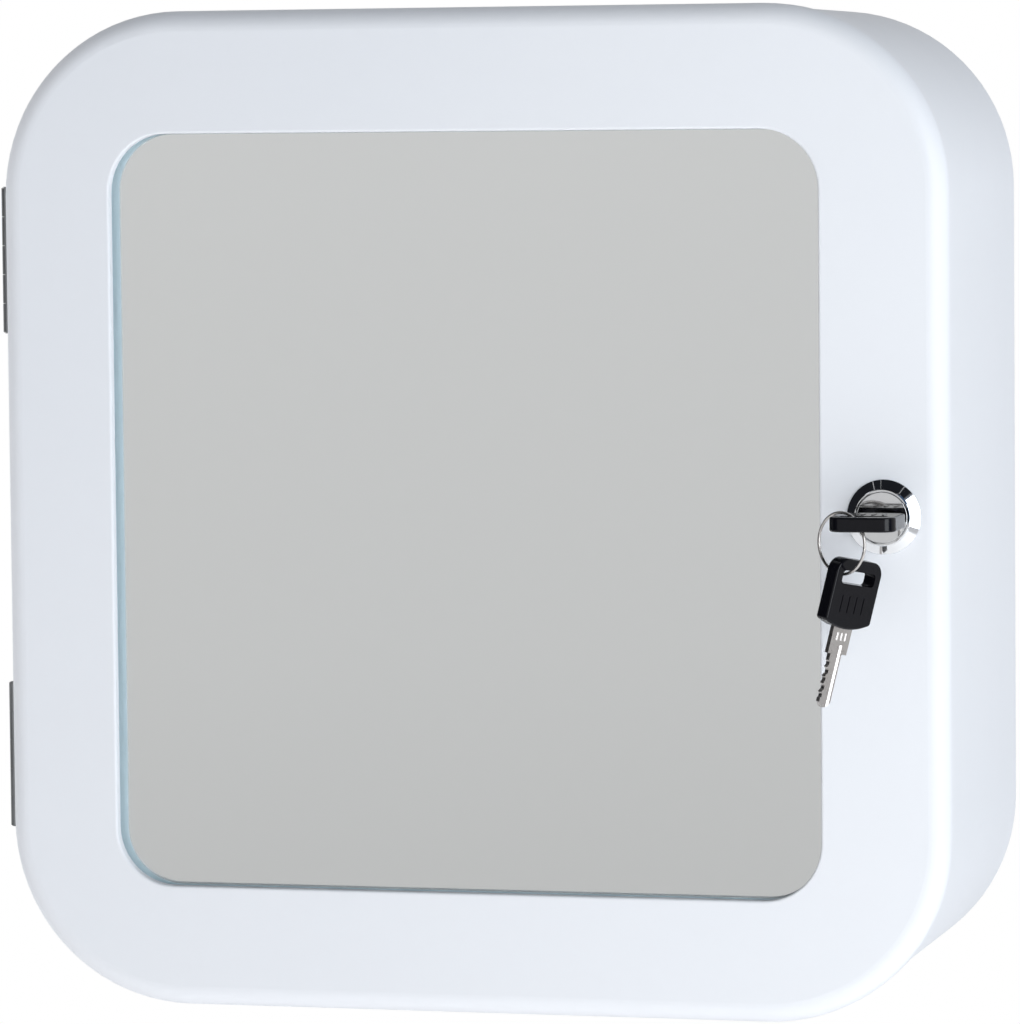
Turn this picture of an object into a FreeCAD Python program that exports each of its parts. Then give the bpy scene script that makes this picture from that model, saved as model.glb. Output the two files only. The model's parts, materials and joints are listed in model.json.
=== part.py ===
"""Lockable mirrored wall cabinet: rounded steel case, two shelves, mirror door, cam lock and two keys.

Millimetres. The origin is the centre of the back face, on the wall. +X is the right-hand side seen from
the front, +Y points into the wall, +Z is up. The door is closed, its lock unlocked and its key inserted.
"""
import FreeCAD, Part
import math
import os

V = FreeCAD.Vector

# ---- driving dimensions -------------------------------------------------------------------------------
WIDTH = 330.0              # door outline, left to right
HEIGHT = 342.0             # door outline, bottom to top
DEPTH = 142.0              # wall to the door's front face
CORNER_R = 63.0            # door outline's corner radius
SHEET = 1.0                # steel sheet of the case and of the door shell

DOOR_SKIRT = 13.0          # depth of the door's turned-back edge
DOOR_EDGE_R = 7.0          # rounding of the door's front edge
CASE_INSET = 1.0           # the case is this much smaller than the door, all round
SEAM_GAP = 0.8             # between the door's rear edge and the case's front face
CASE_EDGE_R = 2.0          # bend radius at the case's front edge
FRONT_FLANGE = 9.0         # inward flange at the case's front
REAR_FLANGE = 11.0         # inward flange at the case's back

MIRROR_W = 247.5           # visible mirror opening
MIRROR_H = 258.5
MIRROR_R = 20.0
MIRROR_X = -2.0            # the opening sits a little left of centre, to make room for the lock
MIRROR_LIP = 3.5           # depth of the turned-back lip round the opening
LIP_EDGE_R = 0.9           # rounding of the lip's front edge
MIRROR_BORDER = 8.0        # how far the glass reaches past the opening
GLASS_T = 4.0
SILVER_GAP = 0.06          # protective film between the glass and the silvered foil
SILVER_T = 0.2
BOARD_T = 2.5
PAN_T = 0.8                # sheet of the door's inner pan

SHELF_Z = 52.0             # shelves sit this far above and below the middle
SHELF_T = 0.8
SHELF_FRONT = -116.0
SHELF_REAR = -3.0
SHELF_LIP = 12.0
RAIL_LEG = 11.0

WALL_HOLE_DX = 240.0       # wall screw holes, spacing across
WALL_HOLE_DZ = 200.0       # and up
WALL_HOLE_R = 3.0

HINGE_LENGTH = 50.0
HINGE_Z = 86.0             # hinge centres sit this far above and below the middle
HINGE_KNUCKLES = 5
KNUCKLE_R = 1.8
KNUCKLE_GAP = 0.16
HINGE_PIN_R = 0.9
HINGE_PROUD = 2.1          # hinge axis, out from the door's side
LEAF_T = 1.0
LEAF_GAP = 0.2             # between the two closed leaves
RIVET_R = 1.6

LOCK_X = 143.7
LOCK_Z = 0.3
BEZEL_R = 12.6
COLLAR_R = 9.5             # raised ring round the plug, and the threaded barrel behind it
COLLAR_PROUD = 4.4         # the collar stands this far out of the door
PLUG_FACE_R = 8.6
PLUG_SUNK = 0.3            # the plug's face lies this far back in its collar
CAP_GAP = 0.35             # dark line between the plug's face and the collar
PLUG_R = 6.8
RUN_CLEARANCE = 0.05       # radial clearance of every turning fit
CAM_REACH = 16.5
CAM_T = 2.0
CAM_TURN_GAP = 0.5         # between the cam and the flange it locks behind
WAFER_T = 0.9              # thickness, half width and half height of a tumbler wafer
WAFER_X = 5.6
WAFER_Z = 3.2
SPRING_R = 0.45            # wafer spring's outer radius, and its height above the plug's axis
SPRING_Z = 4.4

BOW_W = 22.0               # plastic head of a key: width, length and thickness
BOW_L = 23.2
BOW_T = 4.9
BOW_SHIFT = 0.5            # bow and neck sit this far to one side of the toothed blade
BOW_SLOT_W = 16.0
BOW_SLOT_H = 4.4
BOW_SLOT_R = 1.3
BOW_SLOT_C = 6.0           # slot centre, from the bow's end
NECK_W = 9.1
NECK_L = 8.6
BLADE_W = 5.4
BLADE_L = 18.0
BLADE_T = 1.5
BLADE_IN = 15.2            # length of blade inside the lock
GROOVE_W = 1.4             # groove along each side of the blade: one steep wall, one sloping
GROOVE_DEPTH = 0.45
CUT_DEPTHS = (0.5, 0.9, 0.4, 0.8, 0.5)

RING_R = 10.1              # key ring, to the middle of its wire
WIRE_R = 0.5
RING_AZIMUTH = -31.0       # direction of the ring's plane, about Z from +X
RING_CLOCK = 43.6          # where on the ring the inserted key's bow hangs, above horizontal
RING_LEFT = 2.2            # the ring passes through the bow's slot this far left of the lock's axis
RING_FORWARD = 0.6         # and this far in front of the slot's middle
RING_LIFT = 0.3            # and its wire clears the bow's upper face when it is this far above the lock's axis
SPARE_SIDE = 2.0           # hanging point of the spare key, in from its slot's end
SPARE_TOP = 1.7            # and down from its slot's top
SPARE_LEAN = 13.6          # the spare key hangs askew, its tip swung to the left
SPARE_LEAN_ABOUT = 14.7    # direction of the axis it leans about, round Z from +Y

# ---- planes along Y -----------------------------------------------------------------------------------
Y_FRONT = -DEPTH
Y_SKIRT = Y_FRONT + DOOR_SKIRT
Y_CASE = Y_SKIRT + SEAM_GAP
Y_LIP = Y_FRONT + MIRROR_LIP
Y_GLASS = Y_LIP + GLASS_T
Y_SILVER = Y_GLASS + SILVER_GAP + SILVER_T
Y_BOARD = Y_SILVER + BOARD_T
Y_HINGE = Y_CASE - LEAF_T - LEAF_GAP / 2
Y_PAN = Y_HINGE - LEAF_GAP / 2 - LEAF_T
Y_COLLAR = Y_FRONT - COLLAR_PROUD
Y_PLUG = Y_COLLAR + PLUG_SUNK
Y_HOUSING_END = Y_CASE + 0.6
Y_CAM = Y_CASE + SHEET + CAM_TURN_GAP
Y_TIP = Y_PLUG + BLADE_IN
Y_BOW_END = Y_TIP - BLADE_L - NECK_L - BOW_L

CASE_W = WIDTH - 2 * CASE_INSET
CASE_H = HEIGHT - 2 * CASE_INSET
CASE_R = CORNER_R - CASE_INSET
HINGE_X = -WIDTH / 2 - HINGE_PROUD


# ---- building blocks ----------------------------------------------------------------------------------
def box(x0, x1, y0, y1, z0, z1):
    return Part.makeBox(x1 - x0, y1 - y0, z1 - z0, V(x0, y0, z0))


def rod_y(x, z, radius, y0, y1):
    return Part.makeCylinder(radius, y1 - y0, V(x, y0, z), V(0, 1, 0))


def rod_z(x, y, radius, z0, z1):
    return Part.makeCylinder(radius, z1 - z0, V(x, y, z0), V(0, 0, 1))


def slab(width, height, radius, y0, y1, x=0.0):
    """Rounded rectangle in the XZ plane, centred on x, extruded from y0 to y1."""
    a, b = width / 2, height / 2
    k = radius * (1 - math.sqrt(0.5))
    edges = []
    for sx, sz in ((1, 1), (-1, 1), (-1, -1), (1, -1)):
        on_side = V(x + sx * a, y0, sz * (b - radius))
        corner = V(x + sx * (a - k), y0, sz * (b - k))
        on_end = V(x + sx * (a - radius), y0, sz * b)
        first, last = (on_side, on_end) if sx * sz > 0 else (on_end, on_side)
        edges.append(Part.Arc(first, corner, last).toShape())
    for arc, after in zip(list(edges), edges[1:] + edges[:1]):
        edges.append(Part.makeLine(arc.Vertexes[-1].Point, after.Vertexes[0].Point))
    wire = Part.Wire(Part.__sortEdges__(edges))
    return Part.Face(wire).extrude(V(0, y1 - y0, 0))


def edges_at_y(shape, y, half_width=None):
    """Edges that lie flat in the plane y, and within half_width of the mirror's centre when given."""
    found = []
    for edge in shape.Edges:
        bounds = edge.BoundBox
        if abs(bounds.YMin - y) > 1e-4 or abs(bounds.YMax - y) > 1e-4:
            continue
        reach = max(abs(bounds.XMin - MIRROR_X), abs(bounds.XMax - MIRROR_X))
        if half_width is None or reach <= half_width:
            found.append(edge)
    return found


def tray(width, height, radius, y0, y1, edge_r, sheet):
    """Open-backed tray of sheet metal: its floor at y0, its rounded edge towards the front."""
    outer = slab(width, height, radius, y0, y1)
    outer = outer.makeFillet(edge_r, edges_at_y(outer, y0))
    inner = slab(width - 2 * sheet, height - 2 * sheet, radius - sheet, y0 + sheet, y1 + 1)
    inner = inner.makeFillet(edge_r - sheet, edges_at_y(inner, y0 + sheet))
    return outer.cut(inner)


def lathe_y(profile, y_axis_x=LOCK_X, y_axis_z=LOCK_Z):
    """Turn a closed (radius, y) outline about an axis along Y."""
    points = [V(y_axis_x + r, y, y_axis_z) for r, y in profile]
    face = Part.Face(Part.makePolygon(points + points[:1]))
    return face.revolve(V(y_axis_x, 0, y_axis_z), V(0, 1, 0), 360)


def rivet(x, z, y_head, y_tail, grip):
    """Countersunk rivet along Y: flush head at y_head, domed tail that stands grip beyond y_tail."""
    towards = 1 if y_tail > y_head else -1
    rim = RIVET_R * 1.6
    sink = RIVET_R * 0.6
    outline = [
        (0, y_head),
        (rim, y_head),
        (RIVET_R, y_head + towards * sink),
        (RIVET_R, y_tail),
        (rim, y_tail),
        (rim * 0.7, y_tail + towards * grip),
        (0, y_tail + towards * grip),
    ]
    return lathe_y(outline, x, z)


# ---- case ---------------------------------------------------------------------------------------------
def case_wrap():
    outer = slab(CASE_W, CASE_H, CASE_R, Y_CASE, -SHEET)
    outer = outer.makeFillet(CASE_EDGE_R, edges_at_y(outer, Y_CASE))
    outer = outer.makeFillet(CASE_EDGE_R, edges_at_y(outer, -SHEET))
    inner = slab(CASE_W - 2 * SHEET, CASE_H - 2 * SHEET, CASE_R - SHEET, Y_CASE + SHEET, -2 * SHEET)
    inner = inner.makeFillet(CASE_EDGE_R - SHEET, edges_at_y(inner, Y_CASE + SHEET))
    inner = inner.makeFillet(CASE_EDGE_R - SHEET, edges_at_y(inner, -2 * SHEET))
    wrap = outer.cut(inner)
    for flange, y0, y1 in ((FRONT_FLANGE, Y_CASE - 1, Y_CASE + 2), (REAR_FLANGE, -3, 1)):
        mouth = slab(CASE_W - 2 * flange, CASE_H - 2 * flange, CASE_R - flange, y0, y1)
        wrap = wrap.cut(mouth)
    for x, z in case_rivet_places():
        wrap = wrap.cut(rod_y(x, z, RIVET_R, Y_CASE - 1, Y_CASE + 2))
    return wrap


def back_panel():
    margin = 0.5
    panel = slab(CASE_W - 2 * margin, CASE_H - 2 * margin, CASE_R - margin, -SHEET, 0)
    for sx in (-1, 1):
        for sz in (-1, 1):
            hole = rod_y(sx * WALL_HOLE_DX / 2, sz * WALL_HOLE_DZ / 2, WALL_HOLE_R, -2 * SHEET, SHEET)
            panel = panel.cut(hole)
    return panel


def shelf(z):
    """Folded steel shelf: flat top, a lip turned down and hemmed at the front, an upstand at the back."""
    half = CASE_W / 2 - SHEET - 0.5
    hem = 4.0
    top = box(-half, half, SHELF_FRONT, SHELF_REAR, z - SHELF_T, z)
    lip = box(-half, half, SHELF_FRONT, SHELF_FRONT + SHELF_T, z - SHELF_LIP, z)
    fold = box(-half, half, SHELF_FRONT, SHELF_FRONT + hem, z - SHELF_LIP, z - SHELF_LIP + SHELF_T)
    upstand = box(-half, half, SHELF_REAR - SHELF_T, SHELF_REAR, z - SHELF_T, z + SHELF_LIP)
    folded = top.fuse([lip, fold, upstand]).removeSplitter()
    bends = [e for e in folded.Edges if is_front_bend(e, z)]
    return folded.makeFillet(SHELF_T, bends)


def is_front_bend(edge, z):
    bounds = edge.BoundBox
    along = bounds.XLength > CASE_W / 2
    return along and abs(bounds.YMax - SHELF_FRONT) < 1e-4 and abs(bounds.ZMax - z) < 1e-4


def shelf_rail(side, z):
    """Angle spot-welded to the case's side: the shelf lies on its horizontal leg."""
    wall = CASE_W / 2 - SHEET
    top = z - SHELF_T
    y0, y1 = SHELF_FRONT + 6, SHELF_REAR - 4
    leg = box(wall - RAIL_LEG, wall, y0, y1, top - SHEET, top)
    plate = box(wall - SHEET, wall, y0, y1, top - RAIL_LEG, top)
    rail = leg.fuse(plate).removeSplitter()
    return rail if side > 0 else rail.mirror(V(0, 0, 0), V(1, 0, 0))


# ---- hinges -------------------------------------------------------------------------------------------
def knuckle_spans(z_mid, parity):
    """The heights of one leaf's knuckles: even ones are the case's, odd ones the door's."""
    pitch = HINGE_LENGTH / HINGE_KNUCKLES
    bottom = z_mid - HINGE_LENGTH / 2
    return [
        (bottom + i * pitch + KNUCKLE_GAP / 2, bottom + (i + 1) * pitch - KNUCKLE_GAP / 2)
        for i in range(HINGE_KNUCKLES)
        if i % 2 == parity
    ]


def leaf_rivet_places(z_mid):
    x = -CASE_W / 2 + FRONT_FLANGE - 3.4
    return [(x, z_mid - HINGE_LENGTH / 2 + 9), (x, z_mid + HINGE_LENGTH / 2 - 9)]


def case_rivet_places():
    return leaf_rivet_places(HINGE_Z) + leaf_rivet_places(-HINGE_Z)


def hinge_leaf(z_mid, for_door):
    """A flat leaf with its rolled knuckles. The door's leaf lies in front of the case's."""
    y0 = Y_HINGE - LEAF_GAP / 2 - LEAF_T if for_door else Y_HINGE + LEAF_GAP / 2
    reach = -CASE_W / 2 + FRONT_FLANGE - (0.0 if for_door else 0.4)
    z0, z1 = z_mid - HINGE_LENGTH / 2, z_mid + HINGE_LENGTH / 2
    leaf = box(HINGE_X, reach, y0, y0 + LEAF_T, z0, z1)
    own, other = (1, 0) if for_door else (0, 1)
    pitch = HINGE_LENGTH / HINGE_KNUCKLES
    for low, high in knuckle_spans(z_mid, other):
        leaf = leaf.cut(rod_z(HINGE_X, Y_HINGE, KNUCKLE_R + 0.4, low - KNUCKLE_GAP, high + KNUCKLE_GAP))
    for low, high in knuckle_spans(z_mid, own):
        leaf = leaf.fuse(rod_z(HINGE_X, Y_HINGE, KNUCKLE_R, low, high))
    leaf = leaf.cut(rod_z(HINGE_X, Y_HINGE, HINGE_PIN_R + RUN_CLEARANCE, z0 - pitch, z1 + pitch))
    for x, z in leaf_rivet_places(z_mid):
        leaf = leaf.cut(hinge_rivet(x, z, for_door))
    return leaf.removeSplitter()


def hinge_rivet(x, z, for_door):
    if for_door:
        return rivet(x, z, Y_HINGE - LEAF_GAP / 2, Y_PAN - PAN_T, 0.8)
    return rivet(x, z, Y_HINGE + LEAF_GAP / 2, Y_CASE + SHEET, 0.9)


def hinge_rivets(for_door):
    return Part.makeCompound([hinge_rivet(x, z, for_door) for x, z in case_rivet_places()])


def hinge_pin(z_mid):
    half = HINGE_LENGTH / 2
    pin = rod_z(HINGE_X, Y_HINGE, HINGE_PIN_R, z_mid - half - 0.1, z_mid + half + 0.1)
    for base, up in ((z_mid + half + 0.1, 1), (z_mid - half - 0.1, -1)):
        head = Part.makeCone(KNUCKLE_R * 0.9, KNUCKLE_R * 0.6, 0.3, V(HINGE_X, Y_HINGE, base), V(0, 0, up))
        pin = pin.fuse(head)
    return pin.removeSplitter()


# ---- door ---------------------------------------------------------------------------------------------
def double_d(radius, y0, y1):
    """Round bar along the lock's axis with two flats, as the lock's barrel and its hole have."""
    flat = radius - 1.2
    bar = rod_y(LOCK_X, LOCK_Z, radius, y0, y1)
    return bar.common(box(LOCK_X - radius, LOCK_X + radius, y0, y1, LOCK_Z - flat, LOCK_Z + flat))


def door_shell():
    shell = tray(WIDTH, HEIGHT, CORNER_R, Y_FRONT, Y_SKIRT, DOOR_EDGE_R, SHEET)
    lip = slab(MIRROR_W + 2 * SHEET, MIRROR_H + 2 * SHEET, MIRROR_R + SHEET, Y_FRONT, Y_LIP, MIRROR_X)
    opening = slab(MIRROR_W, MIRROR_H, MIRROR_R, Y_FRONT - 1, Y_LIP + 1, MIRROR_X)
    shell = shell.fuse(lip).cut(opening).removeSplitter()
    shell = shell.makeFillet(LIP_EDGE_R, edges_at_y(shell, Y_FRONT, MIRROR_W / 2 + 0.1))
    shell = shell.cut(double_d(COLLAR_R + 0.1, Y_FRONT - 1, Y_FRONT + 2))
    side = -WIDTH / 2
    for z in (HINGE_Z, -HINGE_Z):
        half = HINGE_LENGTH / 2 + 0.4
        shell = shell.cut(box(side - 1, side + 2, Y_PAN - 0.2, Y_SKIRT + 1, z - half, z + half))
    return shell


def mirror_slab(border, y0, y1):
    return slab(MIRROR_W + 2 * border, MIRROR_H + 2 * border, MIRROR_R + border, y0, y1, MIRROR_X)


def mirror_gasket():
    return mirror_slab(MIRROR_BORDER, Y_FRONT + SHEET, Y_LIP).cut(
        mirror_slab(SHEET + 0.2, Y_FRONT, Y_LIP + 1)
    )


def door_inner_pan():
    """Pressed inner sheet: a rim inside the skirt, a flat frame, and a field that holds the mirror."""
    play = 0.05
    width, height, radius = WIDTH - 2 * SHEET - play, HEIGHT - 2 * SHEET - play, CORNER_R - SHEET
    rim_front = Y_PAN - 4.5
    pan = slab(width, height, radius, rim_front, Y_PAN)
    pan = pan.makeFillet(1.4, edges_at_y(pan, Y_PAN))
    hollow = slab(width - 2 * PAN_T, height - 2 * PAN_T, radius - PAN_T, rim_front - 1, Y_PAN - PAN_T)
    pan = pan.cut(hollow)
    field = MIRROR_BORDER + 2.0
    pan = pan.cut(mirror_slab(field - PAN_T, Y_BOARD + PAN_T, Y_PAN + 1))
    pan = pan.fuse(mirror_slab(field, Y_BOARD, Y_BOARD + PAN_T)).removeSplitter()
    pan = pan.cut(rod_y(LOCK_X, LOCK_Z, COLLAR_R + 1.2, Y_PAN - 3, Y_PAN + 1))
    for x, z in case_rivet_places():
        pan = pan.cut(rod_y(x, z, RIVET_R, Y_PAN - 3, Y_PAN + 1))
    return pan


def door_bumpers():
    """Soft pads that the closed door rests on, stuck to the inner pan."""
    x = CASE_W / 2 - FRONT_FLANGE / 2 - 1
    z = CASE_H / 2 - FRONT_FLANGE / 2 - 1
    thick = Y_CASE - Y_PAN - 0.3
    pads = []
    for px, pz in ((x, 72), (x, -72), (0, z), (0, -z)):
        pad = rod_y(px, pz, 2.9, Y_PAN, Y_PAN + thick)
        pads.append(pad.makeFillet(0.7, edges_at_y(pad, Y_PAN + thick)))
    return Part.makeCompound(pads)


# ---- lock ---------------------------------------------------------------------------------------------
def lock_bezel():
    """Polished rosette: a shallow cone from its outer rim up to the collar."""
    bore = COLLAR_R + 0.02
    return lathe_y(
        [
            (bore, Y_FRONT),
            (BEZEL_R - 0.3, Y_FRONT),
            (BEZEL_R, Y_FRONT - 0.3),
            (BEZEL_R - 0.15, Y_FRONT - 0.65),
            (bore, Y_FRONT - 2.1),
        ]
    )


def lock_housing():
    collar = lathe_y(
        [
            (0, Y_FRONT),
            (COLLAR_R, Y_FRONT),
            (COLLAR_R, Y_COLLAR + 0.25),
            (COLLAR_R - 0.25, Y_COLLAR),
            (0, Y_COLLAR),
        ]
    )
    housing = collar.fuse(double_d(COLLAR_R, Y_FRONT, Y_HOUSING_END))
    recess = rod_y(LOCK_X, LOCK_Z, PLUG_FACE_R + CAP_GAP, Y_COLLAR - 1, Y_FRONT - 0.05)
    bore = rod_y(LOCK_X, LOCK_Z, PLUG_R + RUN_CLEARANCE, Y_COLLAR - 1, Y_HOUSING_END + 1)
    return housing.cut(recess).cut(bore).removeSplitter()


def lock_nut():
    nut_y0, nut_y1 = Y_FRONT + SHEET, Y_FRONT + SHEET + 3.2
    across = 11.4
    corners = [
        V(
            LOCK_X + across / math.cos(math.pi / 6) * math.cos(math.radians(60 * i + 30)),
            nut_y0,
            LOCK_Z + across / math.cos(math.pi / 6) * math.sin(math.radians(60 * i + 30)),
        )
        for i in range(6)
    ]
    hexagon = Part.Face(Part.makePolygon(corners + corners[:1])).extrude(V(0, nut_y1 - nut_y0, 0))
    return hexagon.cut(rod_y(LOCK_X, LOCK_Z, COLLAR_R + 0.02, nut_y0 - 1, nut_y1 + 1))


def wafer_planes():
    first, pitch = Y_FRONT + 1.6, 2.2
    return [first + pitch * i for i in range(len(CUT_DEPTHS))]


def keyway():
    half_w, half_t = BLADE_W / 2 + 0.2, BLADE_T / 2 + 0.15
    return box(
        LOCK_X - half_w, LOCK_X + half_w, Y_PLUG - 1, Y_TIP + 0.4, LOCK_Z - half_t, LOCK_Z + half_t
    )


def plug_cap():
    """Polished face of the plug, pressed over its front end."""
    cap = rod_y(LOCK_X, LOCK_Z, PLUG_FACE_R, Y_PLUG, Y_FRONT - 0.1)
    cap = cap.makeFillet(0.25, edges_at_y(cap, Y_PLUG))
    return cap.cut(keyway())


def lock_plug():
    """Core of the lock: slotted for its wafers and their springs, with a square end that drives the cam."""
    barrel = rod_y(LOCK_X, LOCK_Z, PLUG_R, Y_FRONT - 0.1, Y_HOUSING_END + 0.1)
    drive = PLUG_R * 0.6
    square = box(
        LOCK_X - drive, LOCK_X + drive, Y_HOUSING_END, Y_CAM + CAM_T, LOCK_Z - drive, LOCK_Z + drive
    )
    plug = barrel.fuse(square).removeSplitter().cut(keyway())
    for y in wafer_planes():
        room = 0.1
        y0, y1 = y - room, y + WAFER_T + room
        x0, x1 = LOCK_X - WAFER_X - 0.6, LOCK_X + WAFER_X + 0.6
        plug = plug.cut(box(x0, x1, y0, y1, LOCK_Z - WAFER_Z - room, LOCK_Z + WAFER_Z + room))
        pocket_z0, pocket_z1 = LOCK_Z + SPRING_Z - 0.7, LOCK_Z + SPRING_Z + 0.7
        plug = plug.cut(box(LOCK_X - 2.4, LOCK_X + 2.4, y0, y1, pocket_z0, pocket_z1))
    return plug.cut(cam_screw())


def tumbler_wafers():
    wafers = []
    for y in wafer_planes():
        plate = box(
            LOCK_X - WAFER_X, LOCK_X + WAFER_X, y, y + WAFER_T, LOCK_Z - WAFER_Z, LOCK_Z + WAFER_Z
        )
        half_w, half_t = BLADE_W / 2 + 0.4, BLADE_T / 2 + 0.35
        window = box(
            LOCK_X - half_w, LOCK_X + half_w, y - 1, y + 2, LOCK_Z - half_t, LOCK_Z + half_t
        )
        wafers.append(plate.cut(window))
    return Part.makeCompound(wafers)


def wafer_springs():
    """The outer shape of each hair-thin coil spring that pushes a wafer outward."""
    coils = []
    for y in wafer_planes():
        start = V(LOCK_X - 2.0, y + WAFER_T / 2, LOCK_Z + SPRING_Z)
        coils.append(Part.makeCylinder(SPRING_R, 4.0, start, V(1, 0, 0)))
    return Part.makeCompound(coils)


def lock_cam():
    """Flat finger, pointing down while unlocked, that turns behind the case's front flange."""
    hub_r, half_tip = 7.6, 5.6
    y1 = Y_CAM + CAM_T
    finger = box(
        LOCK_X - half_tip, LOCK_X + half_tip, Y_CAM, y1, LOCK_Z - CAM_REACH, LOCK_Z
    )
    upright = [e for e in finger.Edges if e.BoundBox.YLength > 1 and e.BoundBox.ZMax < LOCK_Z - 1]
    finger = finger.makeFillet(2.0, upright)
    cam = finger.fuse(rod_y(LOCK_X, LOCK_Z, hub_r, Y_CAM, y1)).removeSplitter()
    half = PLUG_R * 0.6 + 0.05
    return cam.cut(
        box(LOCK_X - half, LOCK_X + half, Y_CAM - 1, y1 + 1, LOCK_Z - half, LOCK_Z + half)
    )


def cam_washer():
    y0 = Y_CAM + CAM_T
    disc = rod_y(LOCK_X, LOCK_Z, 6.4, y0, y0 + 0.6)
    return disc.cut(rod_y(LOCK_X, LOCK_Z, 2.1, y0 - 1, y0 + 2))


def cam_screw():
    """Hexagon-head screw into the back of the plug."""
    y0 = Y_CAM + CAM_T + 0.6
    shank = rod_y(LOCK_X, LOCK_Z, 2.0, Y_TIP + 1.2, y0 + 0.5)
    radius = 7.0 / 2 / math.cos(math.pi / 6)
    corners = [
        V(
            LOCK_X + radius * math.cos(math.radians(60 * i)),
            y0,
            LOCK_Z + radius * math.sin(math.radians(60 * i)),
        )
        for i in range(6)
    ]
    head = Part.Face(Part.makePolygon(corners + corners[:1])).extrude(V(0, 2.8, 0))
    return head.fuse(shank).removeSplitter()


# ---- keys ---------------------------------------------------------------------------------------------
# Each key is drawn lying in the XY plane: its bow's end on y = 0, its blade pointing to +Y, the middle
# of its toothed blade on x = 0, and its thickness centred on z = 0.
def key_bow():
    half, corner, waist = BOW_W / 2, 4.5, BOW_L - 2.4
    k = corner * (1 - math.sqrt(0.5))
    outline = [
        Part.LineSegment(V(-half + corner, 0, 0), V(half - corner, 0, 0)),
        Part.Arc(V(half - corner, 0, 0), V(half - k, k, 0), V(half, corner, 0)),
        Part.LineSegment(V(half, corner, 0), V(half, waist, 0)),
        Part.Arc(V(half, waist, 0), V(0, BOW_L, 0), V(-half, waist, 0)),
        Part.LineSegment(V(-half, waist, 0), V(-half, corner, 0)),
        Part.Arc(V(-half, corner, 0), V(-half + k, k, 0), V(-half + corner, 0, 0)),
    ]
    wire = Part.Wire([piece.toShape() for piece in outline])
    bow = Part.Face(wire).extrude(V(0, 0, BOW_T))
    bow.translate(V(BOW_SHIFT, 0, -BOW_T / 2))
    bow = bow.makeFillet(1.2, [e for e in bow.Edges if is_bow_heel(e, waist)])
    rims = [e for e in bow.Edges if e.BoundBox.ZLength < 1e-4]
    bow = bow.makeFillet(0.7, rims)
    slot = rounded_slot(BOW_SLOT_W, BOW_SLOT_H, BOW_SLOT_R)
    bow = bow.cut(slot).cut(key_blade())
    for face in (-1, 1):
        for column in (-5.25, -1.75, 1.75, 5.25):
            x = BOW_SHIFT + column
            rib = box(x - 0.4, x + 0.4, BOW_L * 0.52, BOW_L * 0.52 + 5.6, 0, 0.25)
            rib.translate(V(0, 0, BOW_T / 2 - 0.05 if face > 0 else -BOW_T / 2 - 0.2))
            bow = bow.fuse(rib)
    return bow.removeSplitter()


def is_bow_heel(edge, waist):
    bounds = edge.BoundBox
    return bounds.ZLength > 1 and abs(bounds.YMin - waist) < 1e-3


def rounded_slot(width, height, radius):
    slot = box(-width / 2, width / 2, -height / 2, height / 2, -BOW_T, BOW_T)
    slot = slot.makeFillet(radius, [e for e in slot.Edges if e.BoundBox.ZLength > BOW_T])
    slot.translate(V(BOW_SHIFT, BOW_SLOT_C, 0))
    return slot


def key_blade():
    """Stamped blade: a tang inside the bow, a neck with three plain marks, then the grooved, toothed part."""
    t0, t1 = -BLADE_T / 2, BLADE_T / 2
    shoulder = BOW_L + NECK_L
    tip = shoulder + BLADE_L
    tang = box(BOW_SHIFT - 3.4, BOW_SHIFT + 3.4, BOW_SLOT_C + BOW_SLOT_H / 2 + 1.6, BOW_L, t0, t1)
    neck = box(BOW_SHIFT - NECK_W / 2, BOW_SHIFT + NECK_W / 2, BOW_L - 1.5, shoulder, t0, t1)
    half = BLADE_W / 2
    point = 1.6
    outline = [
        V(-half, shoulder - 1, t0),
        V(half, shoulder - 1, t0),
        V(half, tip - point, t0),
        V(half - point, tip, t0),
        V(-half + point, tip, t0),
        V(-half, tip - point, t0),
    ]
    toothed = Part.Face(Part.makePolygon(outline + outline[:1])).extrude(V(0, 0, BLADE_T))
    blade = tang.fuse([neck, toothed]).removeSplitter()
    for i, deep in enumerate(CUT_DEPTHS):
        y = shoulder + 3.4 + 2.7 * i
        flat = 0.5
        notch = [
            V(-half - 1, y - flat - deep - 1, t0),
            V(-half - 1, y + flat + deep + 1, t0),
            V(-half + deep, y + flat, t0),
            V(-half + deep, y - flat, t0),
        ]
        blade = blade.cut(Part.Face(Part.makePolygon(notch + notch[:1])).extrude(V(0, 0, BLADE_T)))
    for face in (t0, t1):
        blade = blade.cut(groove(half - 0.7, GROOVE_W, GROOVE_DEPTH, shoulder - 3, tip + 1, face))
        for x in (-1.5, 0.5, 2.5):
            blade = blade.cut(groove(BOW_SHIFT + x, 0.9, 0.35, BOW_L + 1.4, BOW_L + 4.0, face))
    return blade


def groove(edge, width, depth, y0, y1, face):
    """Cutter for a groove whose wall slopes from its floor up to edge, in the blade's side at z = face."""
    floor = face - math.copysign(depth, face)
    above = face + math.copysign(0.5, face)
    profile = [
        V(edge - width, y0, above),
        V(edge - width, y0, floor),
        V(edge - width / 2, y0, floor),
        V(edge, y0, face),
        V(edge, y0, above),
    ]
    return Part.Face(Part.makePolygon(profile + profile[:1])).extrude(V(0, y1 - y0, 0))


def insert_key(shape):
    """Lay a key flat on the lock's axis, its blade pointing into the lock and its teeth to the right."""
    placed = shape.copy()
    placed.rotate(V(0, 0, 0), V(0, 1, 0), 180)
    placed.translate(V(LOCK_X, Y_BOW_END, LOCK_Z))
    return placed


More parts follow.
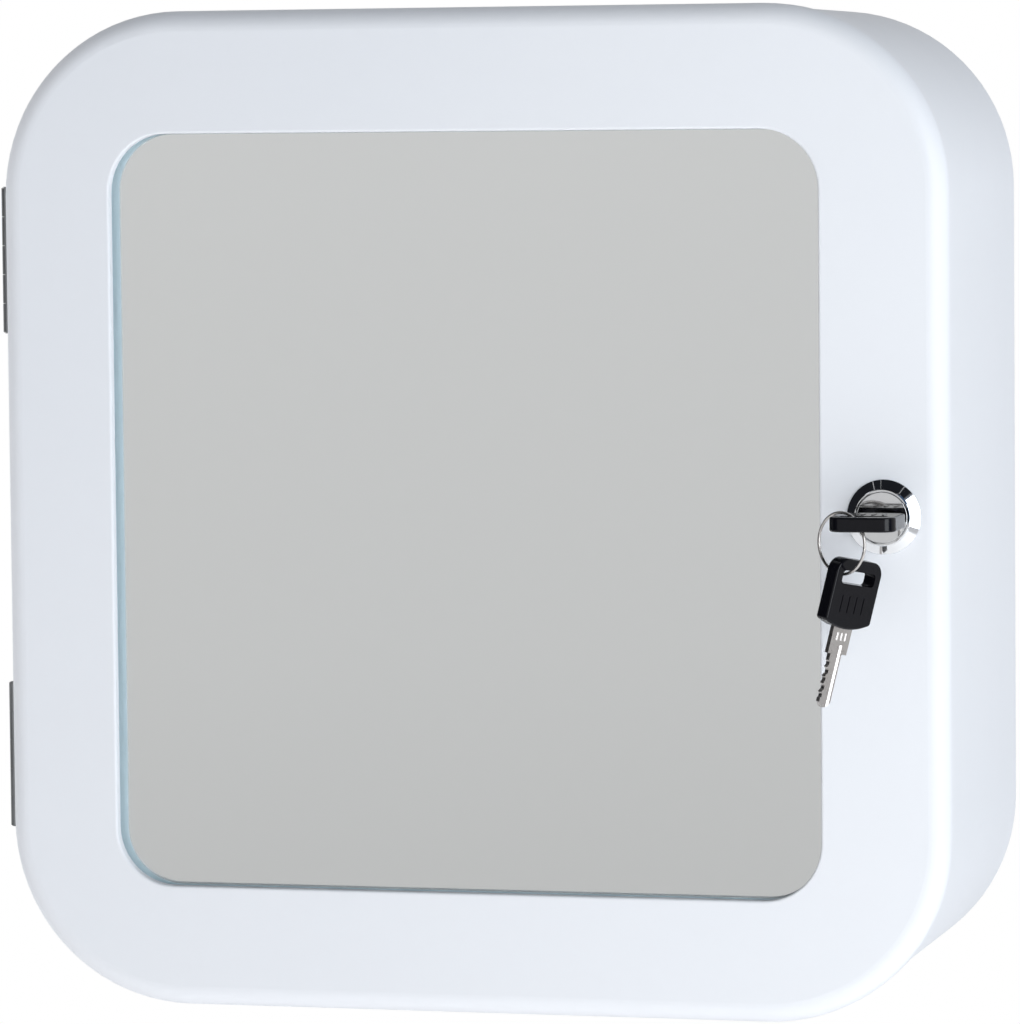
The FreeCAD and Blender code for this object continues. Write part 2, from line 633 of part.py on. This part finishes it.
RING_DIR = V(math.cos(math.radians(RING_AZIMUTH)), math.sin(math.radians(RING_AZIMUTH)), 0)
RING_HOOK = V(LOCK_X - RING_LEFT, Y_BOW_END + BOW_SLOT_C - RING_FORWARD, LOCK_Z + RING_LIFT)
RING_CENTRE = (
    RING_HOOK
    - RING_DIR * (RING_R * math.cos(math.radians(RING_CLOCK)))
    - V(0, 0, RING_R * math.sin(math.radians(RING_CLOCK)))
)
SPARE_HOOK = RING_CENTRE - V(0, 0, RING_R)


def key_ring():
    """Round wire bent to a ring, its two ends meeting with a hairline gap."""
    normal = V(-RING_DIR.y, RING_DIR.x, 0)
    gap = 1.5
    start_angle = 160.0
    radial = V(0, 0, math.sin(math.radians(start_angle))) + RING_DIR * math.cos(math.radians(start_angle))
    start = RING_CENTRE + radial * RING_R
    tangent = normal.cross(radial)
    section = Part.Face(Part.Wire(Part.makeCircle(WIRE_R, start, tangent)))
    return section.revolve(RING_CENTRE, normal, 360 - gap)


def hang_spare(shape):
    """Hang a key by its slot from the bottom of the ring, its face square to the wire, and lean it."""
    placed = shape.copy()
    hook_x = BOW_SHIFT - BOW_SLOT_W / 2 + SPARE_SIDE
    hook_y = BOW_SLOT_C - BOW_SLOT_H / 2 + SPARE_TOP
    placed.translate(V(-hook_x, -hook_y, 0))
    placed.rotate(V(0, 0, 0), V(1, 0, 0), -90)
    placed.rotate(V(0, 0, 0), V(0, 0, 1), 90 + RING_AZIMUTH)
    about = math.radians(SPARE_LEAN_ABOUT)
    placed.rotate(V(0, 0, 0), V(-math.sin(about), math.cos(about), 0), SPARE_LEAN)
    placed.translate(SPARE_HOOK)
    return placed


# ---- all sub-parts ------------------------------------------------------------------------------------
def build_all():
    nodes = {"case_wrap": case_wrap(), "back_panel": back_panel()}
    for level, z in (("upper", SHELF_Z), ("lower", -SHELF_Z)):
        nodes["shelf_" + level] = shelf(z)
        for side_name, side in (("left", -1), ("right", 1)):
            nodes[f"shelf_rail_{level}_{side_name}"] = shelf_rail(side, z)
    for level, z in (("upper", HINGE_Z), ("lower", -HINGE_Z)):
        nodes["hinge_case_leaf_" + level] = hinge_leaf(z, False)
        nodes["hinge_door_leaf_" + level] = hinge_leaf(z, True)
        nodes["hinge_pin_" + level] = hinge_pin(z)
    nodes["hinge_case_rivets"] = hinge_rivets(False)
    nodes["hinge_door_rivets"] = hinge_rivets(True)

    nodes["door_shell"] = door_shell()
    nodes["mirror_gasket"] = mirror_gasket()
    nodes["mirror_glass"] = mirror_slab(MIRROR_BORDER, Y_LIP, Y_GLASS)
    nodes["mirror_silver"] = mirror_slab(MIRROR_BORDER, Y_GLASS + SILVER_GAP, Y_SILVER)
    nodes["mirror_backing_board"] = mirror_slab(MIRROR_BORDER, Y_SILVER, Y_BOARD)
    nodes["door_inner_pan"] = door_inner_pan()
    nodes["door_bumpers"] = door_bumpers()

    nodes["lock_bezel"] = lock_bezel()
    nodes["lock_housing"] = lock_housing()
    nodes["lock_nut"] = lock_nut()
    nodes["plug_cap"] = plug_cap()
    nodes["lock_plug"] = lock_plug()
    nodes["tumbler_wafers"] = tumbler_wafers()
    nodes["wafer_springs"] = wafer_springs()
    nodes["lock_cam"] = lock_cam()
    nodes["cam_washer"] = cam_washer()
    nodes["cam_screw"] = cam_screw()

    blade, bow = key_blade(), key_bow()
    nodes["key_blade"] = insert_key(blade)
    nodes["key_bow"] = insert_key(bow)
    nodes["key_ring"] = key_ring()
    nodes["spare_key_blade"] = hang_spare(blade)
    nodes["spare_key_bow"] = hang_spare(bow)
    return nodes


os.makedirs("parts", exist_ok=True)
for name, shape in build_all().items():
    valid = shape.isValid() and all(solid.isClosed() for solid in shape.Solids)
    print(f"{name:28s} solids {len(shape.Solids)}  volume {shape.Volume:10.1f}  {'ok' if valid else 'BAD'}")
    shape.exportStep(f"parts/{name}.step")
print("ring hook", RING_HOOK, "spare hook", SPARE_HOOK, "hinge axis", HINGE_X, Y_HINGE)
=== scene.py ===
"""Looks for the lockable mirrored wall cabinet: finishes for every part, studio light and the camera.

Metres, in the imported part's frame: +X right, +Y into the wall, +Z up, origin at the back's centre.
"""
import json
import math

import bpy
from mathutils import Matrix, Vector


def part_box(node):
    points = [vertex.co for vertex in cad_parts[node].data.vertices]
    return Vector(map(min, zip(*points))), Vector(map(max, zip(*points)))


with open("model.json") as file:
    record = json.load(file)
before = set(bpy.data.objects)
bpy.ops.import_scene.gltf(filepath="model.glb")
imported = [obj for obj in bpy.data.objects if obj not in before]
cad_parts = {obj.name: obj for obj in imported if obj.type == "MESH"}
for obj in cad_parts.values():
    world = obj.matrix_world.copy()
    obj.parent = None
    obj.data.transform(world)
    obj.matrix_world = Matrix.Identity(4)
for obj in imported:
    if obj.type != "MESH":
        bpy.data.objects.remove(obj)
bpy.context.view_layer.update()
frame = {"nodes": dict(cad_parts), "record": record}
nodes = frame["nodes"]

# ---- camera, relative to the centre of the door's front face --------------------------------------------
CAMERA_YAW = math.radians(14.67)
CAMERA_PITCH = math.radians(3.98)
CAMERA_ROLL = math.radians(-0.55)
CAMERA_DISTANCE = 1.9415
CAMERA_SHIFT_RIGHT = 0.01486
CAMERA_SHIFT_UP = 0.00072
LENS_MM = 201.8
SENSOR_MM = 36.0

# ---- studio ---------------------------------------------------------------------------------------------
FLOOR_DROP = 0.62          # the floor is this far below the cabinet's lowest point
FLOOR_HALF = 2.4
FLOOR_LAMP_HEIGHT = 0.5    # the lamp that brightens only the floor hangs this far above it
FLOOR_LAMP_SIZE = 4.4
WHITE = (1.0, 1.0, 1.0)
ROOM_FLOOR_COLOR = (0.70, 0.71, 0.73)
ROOM_TOP_COLOR = (0.72, 0.73, 0.75)
ROOM_GREYS = ((0.40, 0.575), (0.43, 0.615), (0.50, 0.66), (0.60, 0.71))   # how far up the room, brightness
DIM_COLOR = (0.06, 0.10, 0.17)
DARK_COLOR = (0.012, 0.013, 0.016)
CEILING_STRIPS = ((-0.62, 0.012), (-0.337, 0.006), (0.473, 0.012))        # slope and half width
STRIP_CORE = 0.4           # the share of a strip's width that isn't its soft edge
STRIP_STRENGTH = 0.7

# ---- the mirror's border band, a painted reflection of the door's lip: its width from the silvering's edge, most of it under the door's lip --
BORDER_LEFT = 0.0101
BORDER_RIGHT = 0.0080
BORDER_TOP = 0.0080
BORDER_BOTTOM = 0.0082
BORDER_CORNER_R = 0.0195
BORDER_BLUR = 0.0004

# ---- where most of a noise pattern's values lie ---------------------------------------------------------
NOISE_LOW = 0.3
NOISE_HIGH = 0.7


# ---- helpers for shader nodes ---------------------------------------------------------------------------
class Graph:
    """A shader node tree with short ways to add and link its nodes."""

    def __init__(self, tree):
        self.tree = tree

    def add(self, kind, **inputs):
        node = self.tree.nodes.new(kind)
        for key, value in inputs.items():
            node.inputs[key.replace("_", " ")].default_value = value
        return node

    def link(self, source, target):
        self.tree.links.new(source, target)

    def ramp(self, source, low, high, to_low, to_high, shape="LINEAR"):
        node = self.add("ShaderNodeMapRange", From_Min=low, From_Max=high, To_Min=to_low, To_Max=to_high)
        node.interpolation_type = shape
        self.link(source, node.inputs["Value"])
        return node.outputs["Result"]

    def step(self, source, low, high):
        """0 at low, 1 at high and smooth between them; low may be the larger number."""
        return self.ramp(source, low, high, 0.0, 1.0, "SMOOTHSTEP")

    def math(self, operation, a, b=None):
        """One calculation; a and b are each a number or another node's output."""
        node = self.add("ShaderNodeMath")
        node.operation = operation
        for socket, value in zip(node.inputs, (a, b)):
            if isinstance(value, (int, float)):
                socket.default_value = value
            elif value is not None:
                self.link(value, socket)
        return node.outputs["Value"]

    def blend(self, source, color_a, color_b):
        """From colour a to colour b; each is three numbers or another node's output."""
        mix = self.add("ShaderNodeMix")
        mix.data_type = "RGBA"
        for name, color in (("A", color_a), ("B", color_b)):
            if isinstance(color, tuple):
                mix.inputs[name].default_value = (*color, 1.0)
            else:
                self.link(color, mix.inputs[name])
        self.link(source, mix.inputs["Factor"])
        return mix.outputs["Result"]


class Finish(Graph):
    """A new material with a Principled shader; its patterns lie in the object's own metres."""

    def __init__(self, name, **settings):
        self.material = bpy.data.materials.new(name)
        self.material.use_nodes = True
        super().__init__(self.material.node_tree)
        self.shader = self.tree.nodes["Principled BSDF"]
        for key, value in settings.items():
            socket = self.shader.inputs[key.replace("_", " ")]
            socket.default_value = (*value, 1.0) if isinstance(value, tuple) else value
        self.coords = self.add("ShaderNodeTexCoord").outputs["Object"]

    def noise(self, scale, detail=2.0, roughness=0.5, stretch=None):
        """Noise in the object's metres; stretch squeezes it along an axis, for brushed metal."""
        node = self.add("ShaderNodeTexNoise", Scale=scale, Detail=detail, Roughness=roughness)
        place = self.coords
        if stretch:
            mapping = self.add("ShaderNodeMapping", Scale=stretch)
            self.link(place, mapping.inputs["Vector"])
            place = mapping.outputs["Vector"]
        self.link(place, node.inputs["Vector"])
        return node.outputs["Fac"]

    def outside_rounded_rectangle(self, middle, half, corner, blur):
        """0 inside a rounded rectangle that faces -Y, 1 outside it."""
        place = self.coords
        for operation, value in (
            ("SUBTRACT", middle),
            ("ABSOLUTE", None),
            ("SUBTRACT", (half.x - corner, 1.0, half.z - corner)),
            ("MAXIMUM", (0.0, 0.0, 0.0)),
            ("LENGTH", None),
        ):
            node = self.add("ShaderNodeVectorMath")
            node.operation = operation
            self.link(place, node.inputs[0])
            if value is not None:
                node.inputs[1].default_value = value
            place = node.outputs["Value" if operation == "LENGTH" else "Vector"]
        return self.ramp(place, corner - blur, corner + blur, 0.0, 1.0)

    def vary_color(self, source, color_a, color_b):
        self.link(self.blend(source, color_a, color_b), self.shader.inputs["Base Color"])

    def vary_roughness(self, source, low, high):
        self.link(self.ramp(source, NOISE_LOW, NOISE_HIGH, low, high), self.shader.inputs["Roughness"])

    def bump(self, layers):
        """layers: (height source, depth in metres), laid over each other."""
        normal = None
        for source, depth in layers:
            node = self.add("ShaderNodeBump", Strength=1.0, Distance=depth)
            self.link(source, node.inputs["Height"])
            if normal:
                self.link(normal, node.inputs["Normal"])
            normal = node.outputs["Normal"]
        self.link(normal, self.shader.inputs["Normal"])


# ---- finishes -------------------------------------------------------------------------------------------
def powder_coat():
    m = Finish("powder_coat", Metallic=0.0, IOR=1.5, Specular_IOR_Level=0.22)
    m.vary_color(m.noise(7.0, 3.0), (0.80, 0.825, 0.87), (0.83, 0.85, 0.89))
    m.vary_roughness(m.noise(40.0, 3.0), 0.40, 0.46)
    m.bump([(m.noise(260.0, 2.0), 0.000012), (m.noise(1400.0, 2.0), 0.000004)])
    return m.material


def hinge_steel():
    m = Finish("hinge_steel", Metallic=1.0)
    grain = m.noise(900.0, 3.0, 0.6, stretch=(1.0, 1.0, 0.06))
    m.vary_color(grain, (0.30, 0.31, 0.32), (0.44, 0.45, 0.46))
    m.vary_roughness(grain, 0.32, 0.5)
    m.bump([(grain, 0.00002)])
    return m.material


def foam_tape():
    m = Finish("foam_tape", Roughness=0.95)
    cells = m.noise(1800.0, 4.0, 0.7)
    m.vary_color(cells, (0.50, 0.62, 0.70), (0.60, 0.71, 0.78))
    m.bump([(cells, 0.0002)])
    return m.material


def float_glass():
    """Clear glass that lets light through to the silvering and the door's lip behind it."""
    tint = (0.978, 0.985, 0.985)
    m = Finish("float_glass", Base_Color=tint, Roughness=0.0, IOR=1.5, Transmission_Weight=1.0)
    m.bump([(m.noise(3.0, 1.0), 0.00001)])
    clear = m.add("ShaderNodeBsdfTransparent", Color=(0.96, 0.98, 0.98, 1.0))
    mix = m.add("ShaderNodeMixShader")
    m.link(m.add("ShaderNodeLightPath").outputs["Is Shadow Ray"], mix.inputs["Fac"])
    m.link(m.shader.outputs["BSDF"], mix.inputs[1])
    m.link(clear.outputs["BSDF"], mix.inputs[2])
    m.link(mix.outputs["Shader"], m.tree.nodes["Material Output"].inputs["Surface"])
    return m.material


def silvering():
    """A mirror whose border is blue-grey matte paint instead of silver: a painted reflection of the door's
    lip.
    """
    m = Finish("silvering")
    low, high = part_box("mirror_silver")
    low = low + Vector((BORDER_LEFT, 0.0, BORDER_BOTTOM))
    high = high - Vector((BORDER_RIGHT, 0.0, BORDER_TOP))
    # the band along the edge where the lip's reflection is painted instead of mirrored
    lip_reflection_band = m.outside_rounded_rectangle((low + high) / 2, (high - low) / 2, BORDER_CORNER_R, BORDER_BLUR)
    silver = m.blend(m.noise(4.0, 2.0), (0.915, 0.918, 0.916), (0.93, 0.932, 0.93))
    # painted reflection: the lip's wall and lit glass edge as blue-grey matte colour
    painted_lip_reflection = m.blend(m.noise(220.0, 3.0), (0.54, 0.69, 0.78), (0.62, 0.77, 0.85))
    m.link(m.blend(lip_reflection_band, silver, painted_lip_reflection), m.shader.inputs["Base Color"])
    m.link(m.ramp(lip_reflection_band, 0.0, 1.0, 1.0, 0.0), m.shader.inputs["Metallic"])
    m.link(m.ramp(lip_reflection_band, 0.0, 1.0, 0.0, 0.6), m.shader.inputs["Roughness"])
    return m.material


def hardboard():
    m = Finish("hardboard", Roughness=0.8)
    fibre = m.noise(700.0, 5.0, 0.7, stretch=(1.0, 1.0, 0.35))
    m.vary_color(fibre, (0.16, 0.09, 0.05), (0.30, 0.19, 0.11))
    m.bump([(fibre, 0.00012)])
    return m.material


def bumper_rubber():
    m = Finish("bumper_rubber", Roughness=0.35, IOR=1.45, Transmission_Weight=0.25)
    m.vary_color(m.noise(500.0), (0.70, 0.71, 0.70), (0.78, 0.79, 0.78))
    m.bump([(m.noise(900.0), 0.00002)])
    return m.material


def lock_chrome():
    m = Finish("lock_chrome", Metallic=1.0)
    wear = m.noise(350.0, 4.0, 0.6)
    m.vary_color(wear, (0.80, 0.81, 0.83), (0.87, 0.88, 0.89))
    m.vary_roughness(wear, 0.03, 0.07)
    m.bump([(m.noise(120.0, 2.0), 0.00001)])
    return m.material


def zinc_plate():
    m = Finish("zinc_plate", Metallic=1.0)
    spangle = m.noise(600.0, 3.0, 0.6)
    m.vary_color(spangle, (0.50, 0.51, 0.52), (0.64, 0.65, 0.66))
    m.vary_roughness(spangle, 0.28, 0.42)
    m.bump([(spangle, 0.00002)])
    return m.material


def wafer_brass():
    m = Finish("wafer_brass", Metallic=1.0)
    m.vary_color(m.noise(800.0), (0.62, 0.44, 0.17), (0.75, 0.56, 0.26))
    m.vary_roughness(m.noise(900.0), 0.25, 0.4)
    return m.material


def key_nickel():
    m = Finish("key_nickel", Metallic=1.0)
    m.vary_color(m.noise(180.0, 2.0), (0.56, 0.53, 0.51), (0.66, 0.63, 0.60))
    m.vary_roughness(m.noise(700.0, 2.0), 0.26, 0.34)
    m.bump([(m.noise(400.0, 2.0), 0.000008)])
    return m.material


def bow_plastic():
    m = Finish("bow_plastic", IOR=1.45, Specular_IOR_Level=0.28)
    m.vary_color(m.noise(500.0), (0.0025, 0.0025, 0.004), (0.005, 0.005, 0.0075))
    m.vary_roughness(m.noise(900.0), 0.14, 0.20)
    m.bump([(m.noise(1500.0, 2.0), 0.000004)])
    return m.material


FINISHES = {
    "powder_coat": powder_coat,
    "hinge_steel": hinge_steel,
    "foam_tape": foam_tape,
    "glass": float_glass,
    "silvering": silvering,
    "hardboard": hardboard,
    "bumper_rubber": bumper_rubber,
    "lock_chrome": lock_chrome,
    "zinc_plate": zinc_plate,
    "brass": wafer_brass,
    "nickel": key_nickel,
    "bow_plastic": bow_plastic,
}


def dress_nodes():
    """Give every CAD node the finish that the record's material slot names."""
    made = {slot: make() for slot, make in FINISHES.items()}
    for part in frame["record"]["subparts"]:
        mesh = nodes[part["node"]].data
        mesh.materials.clear()
        mesh.materials.append(made[part["material_slot"]])


# ---- light, surroundings and camera ---------------------------------------------------------------------
def studio_world():
    """White to the camera; in reflections, a pale grey room with a dark ceiling and dark sides in front.

    x, y and z are the parts of a ray's unit direction.
    """
    world = bpy.data.worlds.new("studio")
    world.use_nodes = True
    bpy.context.scene.world = world
    g = Graph(world.node_tree)
    axes = g.add("ShaderNodeSeparateXYZ")
    g.link(g.add("ShaderNodeTexCoord").outputs["Generated"], axes.inputs["Vector"])
    x, y, z = axes.outputs["X"], axes.outputs["Y"], axes.outputs["Z"]

    room = g.add("ShaderNodeValToRGB")
    stops = room.color_ramp.elements
    stops[0].color = (*ROOM_FLOOR_COLOR, 1.0)
    stops[1].color = (*ROOM_TOP_COLOR, 1.0)
    for position, grey in ROOM_GREYS:
        stops.new(position).color = (grey, grey, grey, 1.0)
    g.link(g.step(z, -1.0, 1.0), room.inputs["Fac"])

    front = g.step(y, 0.15, -0.05)
    low = g.math("MULTIPLY", g.step(z, -0.18, -0.26), g.step(x, -0.70, -0.60))
    dim = g.math("MULTIPLY", front, g.math("MAXIMUM", low, g.step(x, 0.44, 0.52)))

    ceiling = g.step(z, 0.14, 0.22)
    left = g.math("MULTIPLY", g.step(x, -0.60, -0.70), g.step(z, -0.22, -0.12))
    right_open = g.step(x, 0.52, 0.44)
    dark = g.math("MULTIPLY", g.math("MAXIMUM", ceiling, left), g.math("MULTIPLY", front, right_open))
    for slope, half_width in CEILING_STRIPS:
        offset = g.math("ABSOLUTE", g.math("SUBTRACT", x, g.math("MULTIPLY", z, slope)))
        strip = g.step(offset, half_width, half_width * STRIP_CORE)
        dark = g.math("MULTIPLY", dark, g.math("SUBTRACT", 1.0, g.math("MULTIPLY", strip, STRIP_STRENGTH)))

    color = g.blend(dim, room.outputs["Color"], DIM_COLOR)
    color = g.blend(dark, color, DARK_COLOR)
    seen = g.add("ShaderNodeLightPath").outputs["Is Camera Ray"]
    g.link(g.blend(seen, color, WHITE), g.tree.nodes["Background"].inputs["Color"])


def soft_box(name, place, target, width, height, watts, color=WHITE, reflected=True):
    """An area lamp aimed at the target; one that isn't reflected stays out of the mirror and the chrome."""
    light = bpy.data.lights.new(name, "AREA")
    light.shape = "RECTANGLE"
    light.size, light.size_y = width, height
    light.energy = watts
    light.color = color
    lamp = bpy.data.objects.new(name, light)
    lamp.location = place
    lamp.rotation_euler = (Vector(target) - Vector(place)).to_track_quat("-Z", "Y").to_euler()
    lamp.visible_camera = False
    lamp.visible_glossy = lamp.visible_transmission = reflected
    bpy.context.scene.collection.objects.link(lamp)


def studio_lights(middle, floor_height):
    soft_box("key_right", (1.25, -1.15, 0.10), middle, 0.9, 1.3, 16.0, (0.93, 0.97, 1.0))
    soft_box("fill_left", (-0.95, -1.75, 0.25), middle, 1.2, 1.2, 3.4, (0.92, 0.96, 1.0), reflected=False)
    soft_box("fill_low", (0.15, -1.5, -0.75), middle, 1.4, 0.5, 3.7, (1.0, 0.90, 0.83), reflected=False)
    soft_box("fill_low_right", (1.6, -0.9, -0.6), middle, 0.8, 0.6, 1.2)
    soft_box("near_right", (0.60, -0.95, 0.0), middle, 0.5, 0.8, 1.2, (1.0, 0.96, 0.85), reflected=False)
    soft_box("side_left", (-1.7, -0.25, 0.10), middle, 0.8, 1.2, 7.7, reflected=False)
    above = Vector((0.0, 0.0, floor_height + FLOOR_LAMP_HEIGHT))
    below = Vector((0.0, 0.0, floor_height))
    soft_box("floor_wash", above, below, FLOOR_LAMP_SIZE, FLOOR_LAMP_SIZE, 21.0, reflected=False)


def studio_floor(height):
    bpy.ops.mesh.primitive_plane_add(size=2 * FLOOR_HALF, location=(0, 0, height))
    floor = bpy.context.object
    floor.name = "studio_floor"
    m = Finish("floor_paper", Roughness=0.9)
    m.vary_color(m.noise(3.0, 2.0), (0.86, 0.86, 0.87), (0.89, 0.89, 0.89))
    floor.data.materials.append(m.material)


def photo_camera(door_front):
    """Aim along yaw and pitch, roll about the view, then stand back and shift in the view's own plane."""
    forward = Vector(
        (
            -math.sin(CAMERA_YAW) * math.cos(CAMERA_PITCH),
            math.cos(CAMERA_YAW) * math.cos(CAMERA_PITCH),
            -math.sin(CAMERA_PITCH),
        )
    )
    level = Vector((math.cos(CAMERA_YAW), math.sin(CAMERA_YAW), 0.0))
    upright = level.cross(forward)
    right = level * math.cos(CAMERA_ROLL) + upright * math.sin(CAMERA_ROLL)
    up = upright * math.cos(CAMERA_ROLL) - level * math.sin(CAMERA_ROLL)
    place = door_front - forward * CAMERA_DISTANCE + right * CAMERA_SHIFT_RIGHT + up * CAMERA_SHIFT_UP
    data = bpy.data.cameras.new("photo_camera")
    data.lens = LENS_MM
    data.sensor_width = SENSOR_MM
    data.clip_start = 0.05
    camera = bpy.data.objects.new("photo_camera", data)
    axes = Matrix((right, up, -forward)).transposed().to_4x4()
    camera.matrix_world = Matrix.Translation(place) @ axes
    bpy.context.scene.collection.objects.link(camera)
    bpy.context.scene.camera = camera


def color_management():
    view = bpy.context.scene.view_settings
    view.view_transform = "Standard"
    view.look = "None"


# ---- put it together ------------------------------------------------------------------------------------
shell_low, shell_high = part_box("door_shell")
door_front = Vector(((shell_low.x + shell_high.x) / 2, shell_low.y, (shell_low.z + shell_high.z) / 2))
dress_nodes()
studio_world()
floor_height = shell_low.z - FLOOR_DROP
studio_lights(door_front, floor_height)
studio_floor(floor_height)
photo_camera(door_front)
color_management()
